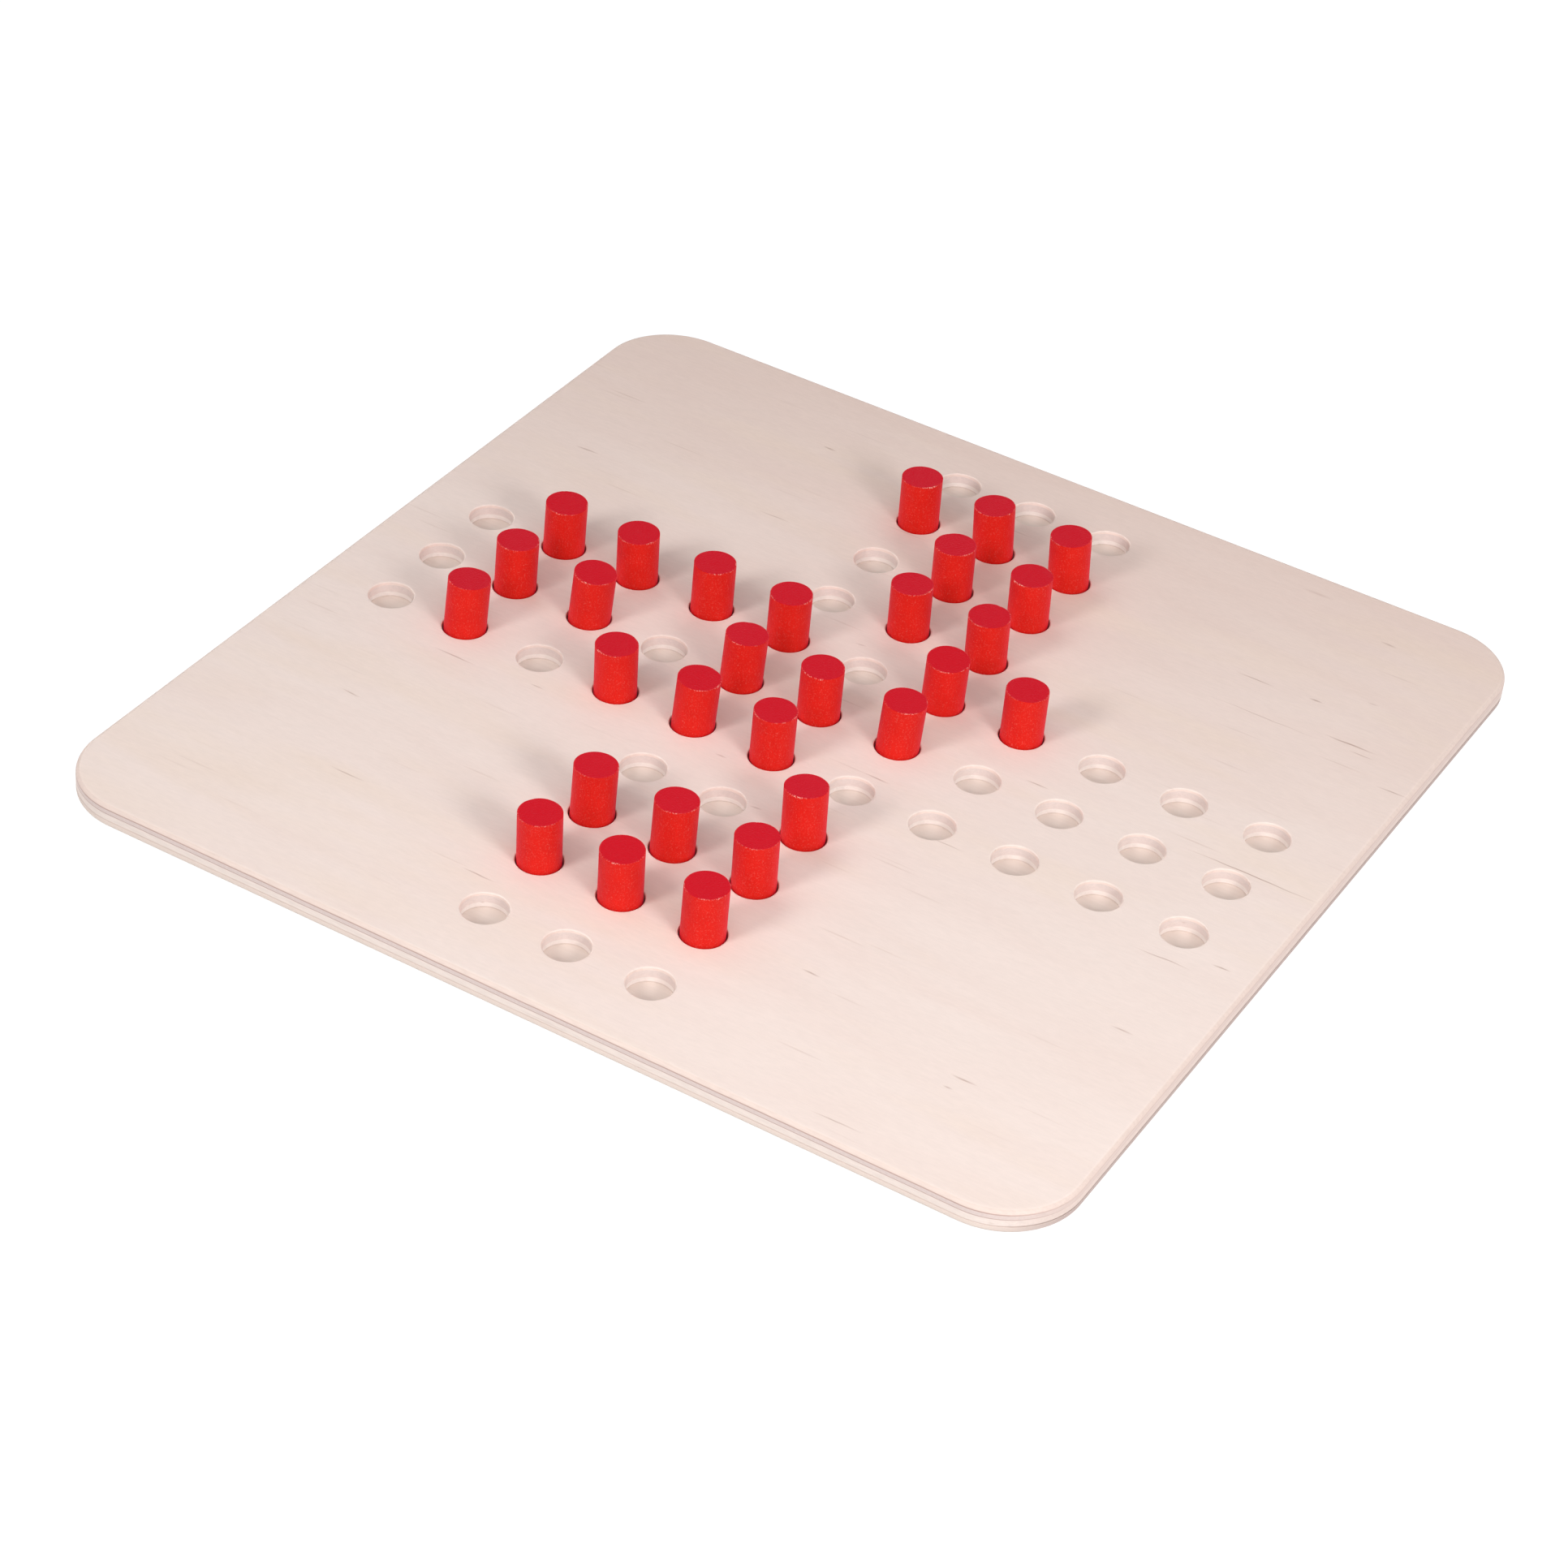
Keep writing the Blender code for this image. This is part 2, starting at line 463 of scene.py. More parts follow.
    def streaks(self, paint: Paint, panel: "DrilledPanel", height: NodeSocket) -> NodeSocket:
        """Hair-fine streaks along the grain, which runs along Y in the cross ply and along X elsewhere.

        Args:
            paint, panel, height: as for bands.

        Returns:
            The streaks, from 0 to 1.
        """
        blur = 0.08 * MM
        above = paint.remap(height, panel.inner_top, panel.inner_top + blur)
        below = paint.remap(height, panel.cross_top + blur, panel.cross_top)
        along = paint.noise(self.streak_mm, detail=4.0, roughness=0.6)
        across = paint.noise(self.cross_streak_mm, detail=4.0, roughness=0.6)
        return paint.add("Mix", {0: paint.calc("MULTIPLY", above, below), 2: along, 3: across}).outputs[0]

    def flecks(self, paint: Paint) -> NodeSocket:
        """Short flecks along the grain, in some cells of an uneven pattern.

        Args:
            paint: the material.

        Returns:
            How dark they are, from 0 to 1.
        """
        place = paint.add("Mapping", {0: paint.spot, 3: per_size(*self.fleck_mm)})
        cells = paint.add("TexVoronoi", {"Vector": place.outputs[0], "Scale": 1.0})
        inside = paint.remap(cells.outputs["Distance"], 0.04, 0.25, 1.0, 0.0)
        lot = paint.add("SeparateColor", {0: cells.outputs["Color"]})
        return paint.calc("MULTIPLY", inside, paint.remap(lot.outputs[1], 0.82, 1.0, to_high=0.28))

    def lines(self, paint: Paint) -> NodeSocket:
        """Thin lines on the face, bent by a slow noise.

        Each is a spindle, 1 in the middle of its ellipse and 0 at its edge.

        Args:
            paint: the material.

        Returns:
            How dark they are, from 0 to 1.
        """
        sway = paint.noise((self.sway_mm,) * 3, detail=2.0)
        aside = paint.remap(sway, to_low=-self.sway_depth_mm * MM, to_high=self.sway_depth_mm * MM)
        x, y, _ = paint.coordinates()
        bent = paint.add("CombineXYZ", {0: x, 1: paint.calc("ADD", y, aside)})
        lines: Value = 0.0
        for mark in GRAIN_MARKS:
            scale = per_size(mark.length / 2, mark.width / 2)
            start = (-mark.x * MM * scale[0], -mark.y * MM * scale[1], 0.0)
            place = paint.add("Mapping", {0: bent.outputs[0], 1: start, 3: (*scale, 0.0)})
            spindle = paint.add("TexGradient", {0: place.outputs[0]}, gradient_type="SPHERICAL")
            lines = paint.calc("MULTIPLY_ADD", spindle.outputs[1], mark.depth, lines)
        return paint.calc("MULTIPLY", paint.facing_z, lines, use_clamp=True)

    def material(self, panel: "DrilledPanel") -> Material:
        """Builds the finish for a panel.

        Args:
            panel: the panel whose ply heights the bands follow.

        Returns:
            The material.
        """
        paint = Paint(self.name)
        wander = paint.noise((self.wander_mm,) * 3, detail=1.0)
        shift = paint.remap(wander, to_low=-self.wander_depth_mm * MM, to_high=self.wander_depth_mm * MM)
        height = paint.calc("ADD", paint.coordinates()[2], shift)
        level = paint.remap(paint.facing_z, 0.9, 0.99)
        toned = paint.mix(level, self.cut_tone(paint, panel, height), self.face_tone(paint, panel))
        streak = self.streaks(paint, panel, height)
        darkest, palest = (paint.remap(level, to_low=cut, to_high=face)
                           for cut, face in zip(self.cut_streaks, self.face_streaks))
        grained = paint.mix(1.0, toned, paint.remap(streak, 0.3, 0.7, darkest, palest), blend_type="MULTIPLY")
        flecks = self.flecks(paint)
        flecked = paint.mix(flecks, grained, self.fleck)
        lined = paint.mix(self.lines(paint), flecked, self.line)
        pores = paint.calc("SUBTRACT", streak, flecks)
        dull = paint.remap(streak, 0.3, 0.7, self.roughness + 0.06, self.roughness - 0.06)
        return paint.finish({"Base Color": lined, "Roughness": dull, "Normal": paint.bump(0.25, 0.05, pores),
                             "Specular IOR Level": self.specular})


@dataclass(frozen=True)
class BirchBase:
    """Thin birch sheet, sanded and left nearly raw.

    It shows as the floors of the holes, a greyish beige with a faint grain along X, and as the lowest band of
    the edge, pinker along the front and darker at the fibres' ends.

    Attributes:
        face, shade: tones of the floors and of the streaks in them.
        edge, end_grain: tones of the edge where it looks along Y and X.
    """

    name: str = "birch_base_sheet"
    face: str = "#e5d6cd"
    shade: str = "#dbcac0"
    edge: str = "#eddcd2"
    end_grain: str = "#c2ada8"
    roughness: float = 0.6
    specular: float = 0.2
    streak_mm: Triple = (30.0, 1.1, 0.5)

    def material(self) -> Material:
        """Builds the finish.

        Returns:
            The material.
        """
        paint = Paint(self.name)
        flat = paint.calc("ABSOLUTE", paint.facing_z)
        across = paint.calc("MULTIPLY", paint.facing_x, paint.facing_x)
        edge = paint.mix(across, self.edge, self.end_grain)
        body = paint.mix(flat, edge, self.face)
        streak = paint.noise(self.streak_mm, detail=4.0)
        faint = paint.remap(streak, 0.35, 0.75, to_high=paint.calc("MULTIPLY", flat, 0.5))
        grained = paint.mix(faint, body, self.shade)
        return paint.finish({"Base Color": grained, "Roughness": self.roughness,
                             "Normal": paint.bump(0.3, 0.05, streak), "Specular IOR Level": self.specular})


@dataclass(frozen=True)
class RedLacquer:
    """Beech dowel tumbled in red lacquer, semi-gloss.

    The coat is thin, so the rod's fibres stand through it as fine upright ridges, and a grainy sheen is
    painted on the side as pale specks. At the rim of the sawn end the coat is rubbed to pale specks, and the
    sawn ends are darker, partly for their end grain and partly as painted shade on the pegs' tops.

    Attributes:
        coat, deep, sawn, rubbed: tones of the side, its thicker patches, the ends, which are darker partly
            for their end grain and partly as painted shade, and the rubbed specks, which also serve as the
            side's painted pale glints.
        nap, nap_weight: tint and strength of the crimson sheen at the flanks.
        sheen_speck_share: share of pale specks on the side, a painted grainy sheen.
        patch_mm, ridge_mm: sizes of the thicker patches and of the fibres' ridges.
        grit_mm: size of the coat's tooth, coarser than the real one, so that it shows.
    """

    name: str = "red_lacquer_on_beech"
    coat: str = "#da2416"
    deep: str = "#cb1d13"
    sawn: str = "#ce131c"
    rubbed: str = "#f0a498"
    nap: str = "#ff1c88"
    nap_weight: float = 0.25
    sheen_speck_share: float = 0.2
    roughness: float = 0.42
    specular: float = 0.06
    patch_mm: float = 5.0
    ridge_mm: Triple = (0.55, 0.55, 6.0)
    grit_mm: float = 0.4

    def material(self) -> Material:
        """Builds the finish.

        Returns:
            The material.
        """
        paint = Paint(self.name)
        patch = paint.noise((self.patch_mm,) * 3, detail=3.0)
        side = paint.mix(paint.remap(patch, 0.4, 0.75, to_high=0.45), self.coat, self.deep)
        end = paint.calc("ABSOLUTE", paint.facing_z)
        # the ends take a darker tone, partly for their end grain and partly as painted shade on the pegs'
        # tops
        coat = paint.mix(end, side, self.sawn)
        ridge = paint.noise(self.ridge_mm, detail=2.0)
        grit = paint.noise((self.grit_mm,) * 3, detail=2.0, roughness=0.7)
        # painted sheen: pale specks on the side stand in for the glints of the grainy lacquer, fading out on
        # the ends
        painted_sheen_speck = paint.remap(grit, 0.55, 0.75, to_high=paint.remap(end, to_low=self.sheen_speck_share, to_high=0.0))
        # real rubbed specks at the rim, from the mesh, added to the painted sheen specks
        rubbed_and_sheen = paint.calc("MULTIPLY_ADD", paint.remap(grit, 0.5, 0.58), paint.worn(), painted_sheen_speck)
        tooth = paint.calc("ADD", ridge, grit)
        gloss = paint.remap(grit, 0.3, 0.7, self.roughness - 0.08, self.roughness + 0.1)
        return paint.finish({"Base Color": paint.mix(rubbed_and_sheen, coat, self.rubbed), "Roughness": gloss,
                             "Normal": paint.bump(0.8, 0.12, tooth), "Specular IOR Level": self.specular,
                             "Sheen Weight": self.nap_weight, "Sheen Roughness": 0.5,
                             "Sheen Tint": self.nap})


def four_turns(quarter: np.ndarray) -> np.ndarray:
    """Points of one quarter, as (point, 2), and the same turned by one, two and three right angles."""
    turns = np.array([[[1, 0], [0, 1]], [[0, 1], [-1, 0]], [[-1, 0], [0, -1]], [[0, -1], [1, 0]]])
    return np.einsum("pc,qcd->qpd", quarter, turns).reshape(-1, 2)


def raised(flat: np.ndarray, height: np.ndarray | float) -> np.ndarray:
    """Points in a plane, as (..., 2), put at a height that is one for all or spreads over them."""
    tall = np.broadcast_to(height, flat.shape[:-1])
    return np.concatenate([flat, tall[..., None]], axis=-1)


@dataclass
class Outline:
    """The rounded square that both sheets of the board share.

    Attributes:
        half, radius: half its side, and the radius of its corners.
        count: points round it, a multiple of 4.
    """

    half: float
    radius: float
    count: int

    def path(self) -> tuple[np.ndarray, np.ndarray]:
        """Points of the outline, evenly spaced along it from the middle of its left front corner.

        A point is base + radius * outward. In a corner, base is the arc's middle and outward turns with the
        arc's length over its radius. On a side, base runs straight at the depth of those middles.

        Returns:
            base and outward, each as (count, 2).
        """
        inner = self.half - self.radius
        eighth = math.pi * self.radius / 4
        length = np.arange(self.count // 4) * (2 * inner + 2 * eighth) / (self.count // 4)
        straight = np.clip(length - eighth, 0.0, 2 * inner)
        angle = 1.25 * math.pi + (length - straight) / self.radius
        base = np.stack([straight - inner, np.full_like(straight, -inner)], axis=-1)
        outward = np.stack([np.cos(angle), np.sin(angle)], axis=-1)
        return four_turns(base), four_turns(outward)

    def carry(self, inset: np.ndarray, height: np.ndarray) -> np.ndarray:
        """Carries a profile round the outline.

        Args:
            inset, height: of each of the profile's points, the inset from the outline.

        Returns:
            Points as (ring, count, 3): base + (radius - inset) * outward, at the height.
        """
        base, outward = self.path()
        flat = base + (self.radius - inset)[:, None, None] * outward
        return raised(flat, height[:, None])


def square_loop(half: float, per_side: int) -> np.ndarray:
    """Evenly spaced points round a square, counterclockwise from its left front corner.

    Args:
        half: half the square's side.
        per_side: points on each side.

    Returns:
        Points as (4 * per_side, 2).
    """
    along = np.arange(per_side) / per_side * 2 * half - half
    return four_turns(np.stack([along, np.full_like(along, -half)], axis=-1))


def quarter_round(steps: int) -> tuple[np.ndarray, np.ndarray]:
    """Sine and one minus cosine of even steps through a right angle, both from 0 to 1."""
    angle = np.linspace(0.0, math.pi / 2, steps + 1)
    return np.sin(angle), 1.0 - np.cos(angle)


@dataclass
class DrilledPanel:
    """The upper sheet of the board, with its cross of holes and its rounded upper edge.

    Attributes:
        half: half the board's side.
        bottom, top: heights of its lower and upper face. The lower one comes down over the glue to the base.
        joint_top, inner_top, line_top, cross_top, glue_top: heights where one ply or line of glue ends.
        bored_top: height where the paler ply ends in the holes.
        pitch: distance between neighbouring holes.
        reach, arm: holes on each side of the middle one, along an arm and across it.
        hole_radius, rim_round, edge_round, corner_radius: of the holes, their rims, the edge, the outline.
        rim_apron, edge_apron, lap: widths of the flat strips round a rim, inside the edge and under it.
        rim_steps, edge_steps: facets of the rounds.
        cell_points: points on each side of a hole's square of the face.
        waves, fuzz: fewest and most waves of a hole's rim, and how far it strays from a circle.
    """

    half: float
    bottom: float
    top: float
    joint_top: float = 2.35 * MM
    bored_top: float = 3.6 * MM
    inner_top: float = 4.2 * MM
    line_top: float = 4.4 * MM
    cross_top: float = 5.55 * MM
    glue_top: float = 5.85 * MM
    pitch: float = 25 * MM
    reach: int = 5
    arm: int = 1
    hole_radius: float = 6.4 * MM
    rim_round: float = 0.35 * MM
    edge_round: float = 1.4 * MM
    corner_radius: float = 22 * MM
    rim_apron: float = 0.25 * MM
    edge_apron: float = 0.3 * MM
    lap: float = 0.4 * MM
    rim_steps: int = 5
    edge_steps: int = 8
    cell_points: int = 16
    waves: tuple[int, int] = (2, 8)
    fuzz: float = 0.05 * MM

    def outline(self) -> Outline:
        """The board's outline, with as many points as the edge of the field of cells."""
        return Outline(self.half, self.corner_radius, 4 * (2 * self.reach + 1) * self.cell_points)

    def cells(self) -> tuple[np.ndarray, np.ndarray]:
        """Finds the cells of the face.

        Returns:
            Middles of the cells with a hole and of those without, each as (cell, 2).
        """
        step = np.arange(-self.reach, self.reach + 1)
        column, row = np.meshgrid(step, step)
        drilled = (np.abs(column) <= self.arm) | (np.abs(row) <= self.arm)
        middle = np.stack([column, row], axis=-1) * self.pitch
        return middle[drilled], middle[~drilled]

    def stray(self, count: int, angle: np.ndarray) -> np.ndarray:
        """How far the holes' rims stray from a circle, by a few seeded waves.

        Stray = sum of size / n * sin(n * angle + phase) over the numbers n of waves.

        Args:
            count: number of holes.
            angle: angles of the points round a hole.

        Returns:
            The strays, as (hole, point).
        """
        random = np.random.default_rng(SEED)
        waves = np.arange(self.waves[0], self.waves[1] + 1)
        phase = random.uniform(0, 2 * math.pi, (count, len(waves)))
        size = random.uniform(0, 1, (count, len(waves))) / waves
        return (size[:, :, None] * np.sin(waves[None, :, None] * angle + phase[:, :, None])).sum(axis=1)

    def hole_rings(self, middles: np.ndarray) -> np.ndarray:
        """Each hole's square of the board, as rings from its underside up the wall and out over the face.

        A ring is share * square + (1 - share) * radius * (cos, sin) at one height. The wall ends in a quarter
        round, whose rings stray from the circle.

        Args:
            middles: the holes' places, as (hole, 2).

        Returns:
            Points as (hole, ring, point round it, 3).
        """
        square = square_loop(self.pitch / 2, self.cell_points)
        angle = 1.25 * math.pi + np.arange(len(square)) / len(square) * 2 * math.pi
        circle = np.stack([np.cos(angle), np.sin(angle)], axis=-1)
        rise, spread = quarter_round(self.rim_steps)
        rim = self.hole_radius + self.rim_round * spread
        radius = np.r_[0.0, self.hole_radius, self.hole_radius, rim, rim[-1] + self.rim_apron, 0.0]
        low = self.top - self.rim_round
        height = np.r_[self.bottom, self.bottom, (self.bottom + low) / 2, low + self.rim_round * rise,
                       self.top, self.top]
        share = np.zeros((len(radius), 1, 1))
        share[[0, -1]] = 1.0
        stray = self.stray(len(middles), angle)
        amount = np.r_[np.zeros(3), spread, 1.0, 0.0] * self.fuzz
        reach = radius[:, None] + amount[:, None] * stray[:, None, :]
        flat = share * square + (1 - share) * reach[..., None] * circle
        return raised(flat + middles[:, None, None, :], height[:, None])

    def border_rings(self) -> np.ndarray:
        """The strip round the field of cells, as rings from the face over the edge to the underside.

        The first and last ring are the field's square. Between them the edge's profile, a quarter round and a
        straight wall, is carried round the outline.

        Returns:
            Points as (ring, point round it, 3).
        """
        rise, spread = quarter_round(self.edge_steps)
        inset = np.r_[self.edge_round + self.edge_apron, self.edge_round * (1 - rise), 0.0, self.lap]
        height = np.r_[self.top, self.top - self.edge_round * spread, self.bottom, self.bottom]
        rings = self.outline().carry(inset, height)
        square = square_loop((self.reach + 0.5) * self.pitch, (2 * self.reach + 1) * self.cell_points)
        return np.concatenate([raised(square, self.top)[None], rings, raised(square, self.bottom)[None]])

    def build(self, finish: BirchPlywood) -> None:
        """Makes the panel's piece.

        Args:
            finish: the plywood's look.
        """
        drilled, plain = self.cells()
        surface = Surface()
        surface.sweep(self.hole_rings(drilled))
        border = self.border_rings()
        handled = np.zeros(border.shape[:2])
        handled[2:-1] = 1.0
        surface.sweep(border, handled)
        loop = plain[:, None, :] + square_loop(self.pitch / 2, self.cell_points)
        surface.cap(surface.add(raised(loop, self.top)))
        surface.cap(surface.add(raised(loop, self.bottom))[:, ::-1])
        mesh = surface.mesh("birch_panel", finish.material(self))
        add_piece(mesh, "board", "drilled_panel")


@dataclass
class BaseSheet:
    """The undrilled lower sheet, which is the floor of the holes.

    Attributes:
        outline, bottom, top: the board's outline, and the heights of its faces.
        edge_round, edge_steps: radius and facets of its lower edge.
        arris: the slight break of its upper edge.
        upper_lap, lower_lap: widths of the strips along the edge of its faces.
    """

    outline: Outline
    bottom: float
    top: float
    edge_round: float = 1.0 * MM
    arris: float = 0.1 * MM
    upper_lap: float = 0.5 * MM
    lower_lap: float = 0.3 * MM
    edge_steps: int = 5

    def build(self, finish: BirchBase) -> None:
        """Makes the sheet's piece: a profile carried round the outline, and two flat faces.

        Args:
            finish: the sheet's look.
        """
        rise, spread = quarter_round(self.edge_steps)
        inset = np.r_[self.upper_lap, self.arris, 0.0, self.edge_round * spread,
                      self.edge_round + self.lower_lap]
        height = np.r_[self.top, self.top, self.top - self.arris, self.bottom + self.edge_round * (1 - rise),
                       self.bottom]
        surface = Surface()
        surface.close(surface.sweep(self.outline.carry(inset, height)))
        add_piece(surface.mesh("birch_base", finish.material()), "board", "base_sheet")


class Lean(Enum):
    """The way a peg leans in its loose hole: how far its top moves along +X and +Y, in millimetres."""

    UPRIGHT = (0.0, 0.0)
    NORTH = (0.0, 0.45)
    NORTH_EAST = (0.4, 0.65)
    EAST = (0.85, 0.15)
    SOUTH_EAST = (0.5, -0.45)
    SOUTH = (-0.1, -0.6)
    SOUTH_WEST = (-0.4, -0.35)
    WEST = (-0.45, 0.1)
    FAR_NORTH = (0.25, 1.05)
    FAR_EAST = (1.2, 0.0)
    FAR_SOUTH_EAST = (0.75, -0.9)
    FAR_SOUTH_WEST = (-0.95, -0.55)
    FAR_WEST = (-1.15, -0.25)
    FAR_NORTH_WEST = (-1.0, 0.85)


# Which pegs lean which way; the others stand upright
LEANING = {
    Lean.NORTH: ("b6", "e3", "f3"),
    Lean.NORTH_EAST: ("e6",),
    Lean.EAST: ("e5", "g6"),
    Lean.SOUTH_EAST: ("b7",),
    Lean.SOUTH: ("c7", "f2"),
    Lean.SOUTH_WEST: ("d5", "e2", "g8", "g9"),
    Lean.WEST: ("e10", "f8", "f9", "g3"),
    Lean.FAR_NORTH: ("b5",),
    Lean.FAR_EAST: ("c6",),
    Lean.FAR_SOUTH_EAST: ("g7",),
    Lean.FAR_SOUTH_WEST: ("g10",),
    Lean.FAR_WEST: ("f10",),
    Lean.FAR_NORTH_WEST: ("g4",),
}


@dataclass
class Peg:
    """One dowel peg in its hole.

    Attributes:
        hole, lean: the hole's name, and the way it leans.
        low, high: corners of the solid that it stands for.
        number: its place in the set, which seeds its rim.
        around: points round it.
        rim_round, rim_steps, apron: usual rounding of its rim, its facets, and the strips on both sides.
        waves, unevenness: fewest and most waves of the rounding, and their share of it.
        rub_depth, rub_width: greatest depth of a rubbed-off spot, and its range of widths in radians.
        sound: the share of the usual rounding that shows no wear.
        foot_break: bevel of its lower end.
        grip: the height about which it leans, about half the depth of its hole.
        seat: room under its solid, into which the low side of a leaning foot may dip.
    """

    hole: str
    low: Vector
    high: Vector
    lean: Lean
    number: int
    around: int = 64
    rim_round: float = 0.1 * MM
    rim_steps: int = 4
    apron: float = 0.2 * MM
    waves: tuple[int, int] = (2, 7)
    unevenness: float = 0.9
    rub_depth: float = 0.15 * MM
    rub_width: tuple[float, float] = (0.1, 0.25)
    sound: float = 0.75
    foot_break: float = 0.4 * MM
    grip: float = 2.2 * MM
    seat: float = 0.24 * MM

    def rim(self, angle: np.ndarray) -> np.ndarray:
        """Rounding of the upper rim by angle: uneven by seeded waves, with two rubbed-off spots.

        Rounding = usual * (1 + waves) + depth * exp(-(distance from the spot / width) squared).

        Args:
            angle: the points' angles.

        Returns:
            The rounding at each.
        """
        random = np.random.default_rng(SEED + self.number)
        waves = np.arange(self.waves[0], self.waves[1] + 1)
        size = random.uniform(0.0, self.unevenness, len(waves)) / waves
        phase = random.uniform(0, 2 * math.pi, len(waves))
        ripple = (size[:, None] * np.sin(waves[:, None] * angle + phase[:, None])).sum(0)
        spots = random.uniform(0, 2 * math.pi, 2)
        depth = random.uniform(0.0, self.rub_depth, len(spots))
        width = random.uniform(*self.rub_width, len(spots))
        away = np.angle(np.exp(1j * (angle[None, :] - spots[:, None])))
        rubbed = (depth[:, None] * np.exp(-(away / width[:, None]) ** 2)).sum(0)
        return self.rim_round * (1 + ripple) + rubbed

    def rings(self) -> tuple[np.ndarray, np.ndarray]:
        """The peg upright on its own axis, as rings from its sawn end over the rim and down to the foot.

        A ring is (radius - inset) * (cos, sin) at one height, where inset and height follow a quarter round
        whose size changes with the angle, the straight side and the foot's bevel.

        Returns:
            Points as (ring, point round it, 3), and how worn each is.
        """
        radius = (self.high.x - self.low.x) / 2
        length = self.high.z - self.low.z
        angle = np.arange(self.around) / self.around * 2 * math.pi
        rise, spread = quarter_round(self.rim_steps)
        rounding = self.rim(angle)
        even = np.ones(self.around)
        inset = np.vstack([even * radius / 2, rounding + self.apron, rounding * (1 - rise[:, None]),
                           np.zeros((3, self.around)), even * self.foot_break])
        height = np.vstack([even * length, even * length, length - rounding * spread[:, None],
                            length - rounding - self.apron, even * length / 2, even * self.foot_break,
                            even * 0])
        rubbed = np.clip(rounding / self.rim_round - self.sound, 0.0, 1.0)
        worn = np.zeros(height.shape)
        worn[2:2 + len(rise)] = rubbed
        reach = radius - inset
        return np.stack([reach * np.cos(angle), reach * np.sin(angle), height], axis=-1), worn

    def build(self, material: Material) -> None:
        """Makes the peg's piece, leaning in its hole.

        Args:
            material: the lacquer.
        """
        rings, worn = self.rings()
        shift = Vector((*self.lean.value, 0.0)) * MM
        angle = math.atan2(shift.length, self.high.z - self.low.z - self.grip)
        axis = Vector((0, 0, 1)).cross(shift) if angle else Vector((1, 0, 0))
        turn = np.array(Matrix.Rotation(angle, 3, axis))
        dip = (self.high.x - self.low.x) / 2 * math.sin(angle)
        pivot = np.array((0.0, 0.0, self.grip))
        middle = (self.low + self.high) / 2
        stand = np.array((middle.x, middle.y, self.low.z + max(0.0, dip - self.seat)))
        surface = Surface()
        surface.close(surface.sweep((rings - pivot) @ turn.T + pivot + stand, worn))
        name = PEG + self.hole
        add_piece(surface.mesh("lacquered_" + name, material), name, name)


def build_pegs(finish: RedLacquer) -> None:
    """Makes every peg that the frame has.

    Args:
        finish: the pegs' look.
    """
    lean = {hole: way for way, holes in LEANING.items() for hole in holes}
    material = finish.material()
    holes = sorted(name.removeprefix(PEG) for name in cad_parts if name.startswith(PEG))
    for number, hole in enumerate(holes):
        Peg(hole, *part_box(PEG + hole), lean.get(hole, Lean.UPRIGHT), number).build(material)


@dataclass
class SoftBox:
    """A square soft light that looks at a place on the board.

    Attributes:
        azimuth, elevation: where it stands, in degrees from +X towards +Y and above the board.
        distance, size, power: in metres and watts.
        glint: whether it shows in gloss.
        aim: the place that it looks at.
        spread: how wide its beam fans out, in degrees, as with a grid before the lamp.
    """

    name: str
    azimuth: float
    elevation: float
    distance: float
    size: float
    power: float
    glint: bool = True
    aim: Triple = (0.0, 0.0, 0.0)
    spread: float = 180.0

    def build(self) -> None:
        """Hangs the lamp."""
        lamp = bpy.data.lights.new(self.name, "AREA")
        lamp.shape = "SQUARE"
        lamp.size = self.size
        lamp.energy = self.power
        lamp.spread = math.radians(self.spread)
        light = show(lamp)
        azimuth, elevation = math.radians(self.azimuth), math.radians(self.elevation)
        away = Vector((math.cos(azimuth) * math.cos(elevation), math.sin(azimuth) * math.cos(elevation),
                       math.sin(elevation)))
        light.location = away * self.distance
        light.rotation_euler = (light.location - Vector(self.aim)).to_track_quat("Z", "Y").to_euler()
        light.visible_glossy = self.glint


# Where the lamps stood, as far as the photo's shadows and bright flanks tell
LAMPS = (
    SoftBox("right_soft_box", -28.0, 29.0, 1.1, 0.27, 4.2),
    SoftBox("left_soft_box", -110.0, 34.0, 1.25, 0.32, 0.6, aim=(0.08, -0.03, 0.0), spread=60.0),
    SoftBox("right_panel", -30.0, 20.0, 1.2, 1.0, 2.0),
    SoftBox("front_panel", -62.0, 60.0, 1.4, 1.2, 3.8),
    SoftBox("left_overhead", 170.0, 65.0, 1.1, 0.8, 0.5, glint=False),
    SoftBox("rear_left_strip", 185.0, 3.5, 1.4, 0.14, 3.2, glint=False),
    SoftBox("rear_right_strip", 60.0, 3.5, 1.4, 0.14, 3.2, glint=False),
)


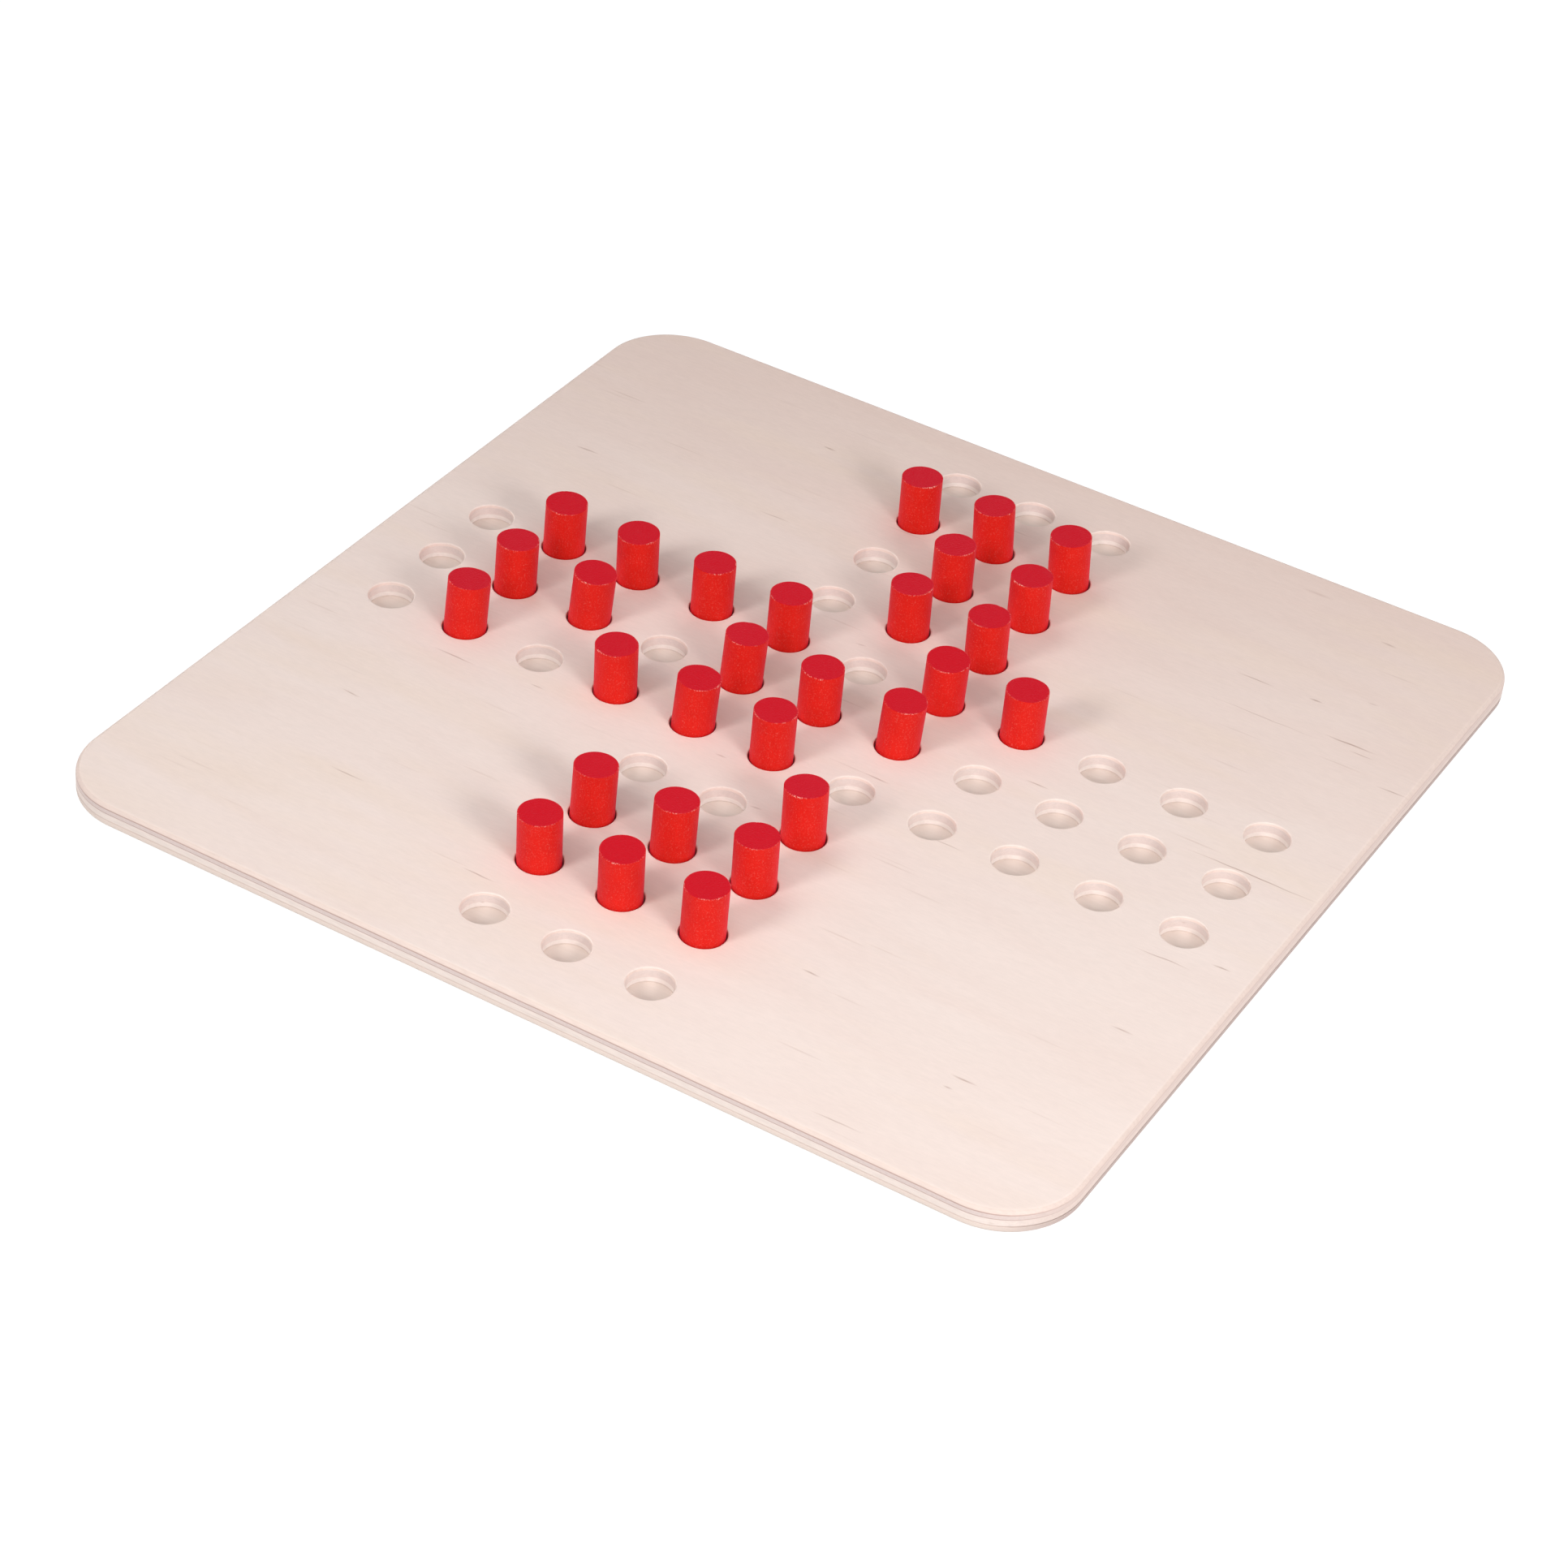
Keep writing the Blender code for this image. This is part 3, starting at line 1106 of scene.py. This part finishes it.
@dataclass
class Studio:
    """White table, lamps on the camera's side and low behind the board, and an even fill.

    Attributes:
        floor_half: half the table's side.
        drop: how far the table lies under the board.
        fill: strength of the even light from all round.
        glow: the part of the table's white that the camera sees whatever falls on it.
        paper: the part that shows the light and shadow that falls on it.
        white, table: of the glow and the backdrop, and of the table as it lights the board.
    """

    floor_half: float = 4.0
    drop: float = 0.1 * MM
    fill: float = 0.37
    glow: float = 0.9
    paper: str = "#828282"
    white: str = "#ffffff"
    table: str = "#cccccc"

    def seen(self, tree: NodeTree) -> NodeSocket:
        """Adds a test that is 1 for what the camera sees, straight or in gloss or glass.

        Args:
            tree: the tree that it goes into.

        Returns:
            The test.
        """
        ray = add_node(tree, "LightPath").outputs
        either = {0: ray["Is Glossy Ray"], 1: ray["Is Transmission Ray"]}
        mirrored = add_node(tree, "Math", either, operation="MAXIMUM").outputs[0]
        either = {0: ray["Is Camera Ray"], 1: mirrored}
        return add_node(tree, "Math", either, operation="MAXIMUM").outputs[0]

    def backdrop(self) -> None:
        """Sets the world: white to the eye, an even fill to everything else."""
        world = bpy.data.worlds.new("studio")
        bpy.context.scene.world = world
        world.use_nodes = True
        tree = world.node_tree
        tree.nodes.clear()
        even = add_node(tree, "Background", {"Color": self.white, "Strength": self.fill})
        plain = add_node(tree, "Background", {"Color": self.white, "Strength": 1.0})
        both = add_node(tree, "MixShader", {0: self.seen(tree), 1: even.outputs[0], 2: plain.outputs[0]})
        add_node(tree, "OutputWorld", {"Surface": both.outputs[0]})

    def floor(self) -> None:
        """Lays the table: matt white paper that glows to the eye and keeps the board's shadow."""
        material, tree = new_tree("white_paper")
        matt = add_node(tree, "BsdfDiffuse", {"Color": self.table})
        shadowed = add_node(tree, "BsdfDiffuse", {"Color": self.paper})
        glow = add_node(tree, "Emission", {"Color": self.white, "Strength": self.glow})
        lit = add_node(tree, "AddShader", {0: shadowed.outputs[0], 1: glow.outputs[0]})
        both = add_node(tree, "MixShader", {0: self.seen(tree), 1: matt.outputs[0], 2: lit.outputs[0]})
        add_node(tree, "OutputMaterial", {"Surface": both.outputs[0]})
        mesh = bpy.data.meshes.new("table")
        corners = raised(square_loop(self.floor_half, 1), -self.drop)
        mesh.from_pydata(corners.tolist(), [], [range(4)])
        mesh.materials.append(material)
        table = show(mesh)

    def build(self) -> None:
        """Sets up the table, the light and the view's colours."""
        self.backdrop()
        self.floor()
        for lamp in LAMPS:
            lamp.build()
        bpy.context.scene.view_settings.view_transform = "Standard"


@dataclass
class PhotoCamera:
    """The camera of the photograph, a pinhole that looks down on the board from its right front.

    Attributes:
        azimuth, elevation, roll: of its line of sight and its frame, in degrees.
        aside, under, distance: the face's middle from the eye, to the right, down and along its sight.
        focal, width: focal length and frame width, in the photograph's pixels.
        sensor: its width in millimetres.
        near, far: how near and how far it sees.
    """

    azimuth: float = 27.507
    elevation: float = 36.799
    roll: float = -5.837
    aside: float = 9.39 * MM
    under: float = -19.43 * MM
    distance: float = 1137.5 * MM
    focal: float = 5119.3
    width: float = 1932.0
    sensor: float = 36.0
    near: float = 0.05
    far: float = 20.0

    def build(self, target: Vector) -> None:
        """Sets up the camera.

        Args:
            target: the middle of the board's face.
        """
        azimuth, elevation, roll = (math.radians(v) for v in (self.azimuth, self.elevation, self.roll))
        back = Vector((math.sin(azimuth) * math.cos(elevation), -math.cos(azimuth) * math.cos(elevation),
                       math.sin(elevation)))
        right = Vector((0, 0, 1)).cross(back).normalized()
        down = right.cross(back)
        across = math.cos(roll) * right + math.sin(roll) * down
        under = -math.sin(roll) * right + math.cos(roll) * down
        eye = target - self.aside * across - self.under * under + self.distance * back
        lens = bpy.data.cameras.new("photo_camera")
        lens.sensor_width = self.sensor
        lens.lens = self.sensor * self.focal / self.width
        lens.clip_start, lens.clip_end = self.near, self.far
        camera = show(lens)
        camera.matrix_world = Matrix.Translation(eye) @ Matrix((across, -under, back)).transposed().to_4x4()
        bpy.context.scene.camera = camera


def main() -> None:
    """Builds the board, the pegs and the studio."""
    logging.basicConfig(level=logging.INFO, format="%(name)s %(message)s")
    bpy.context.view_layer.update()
    _, panel_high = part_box("drilled_panel")
    base_low, base_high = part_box("base_sheet")
    panel = DrilledPanel(half=panel_high.x, bottom=base_high.z + HAIR, top=panel_high.z)
    panel.build(BirchPlywood())
    BaseSheet(panel.outline(), base_low.z, base_high.z).build(BirchBase())
    build_pegs(RedLacquer())
    Studio().build()
    PhotoCamera().build(Vector((0.0, 0.0, panel.top)))


if __name__ == "__main__":
    main()
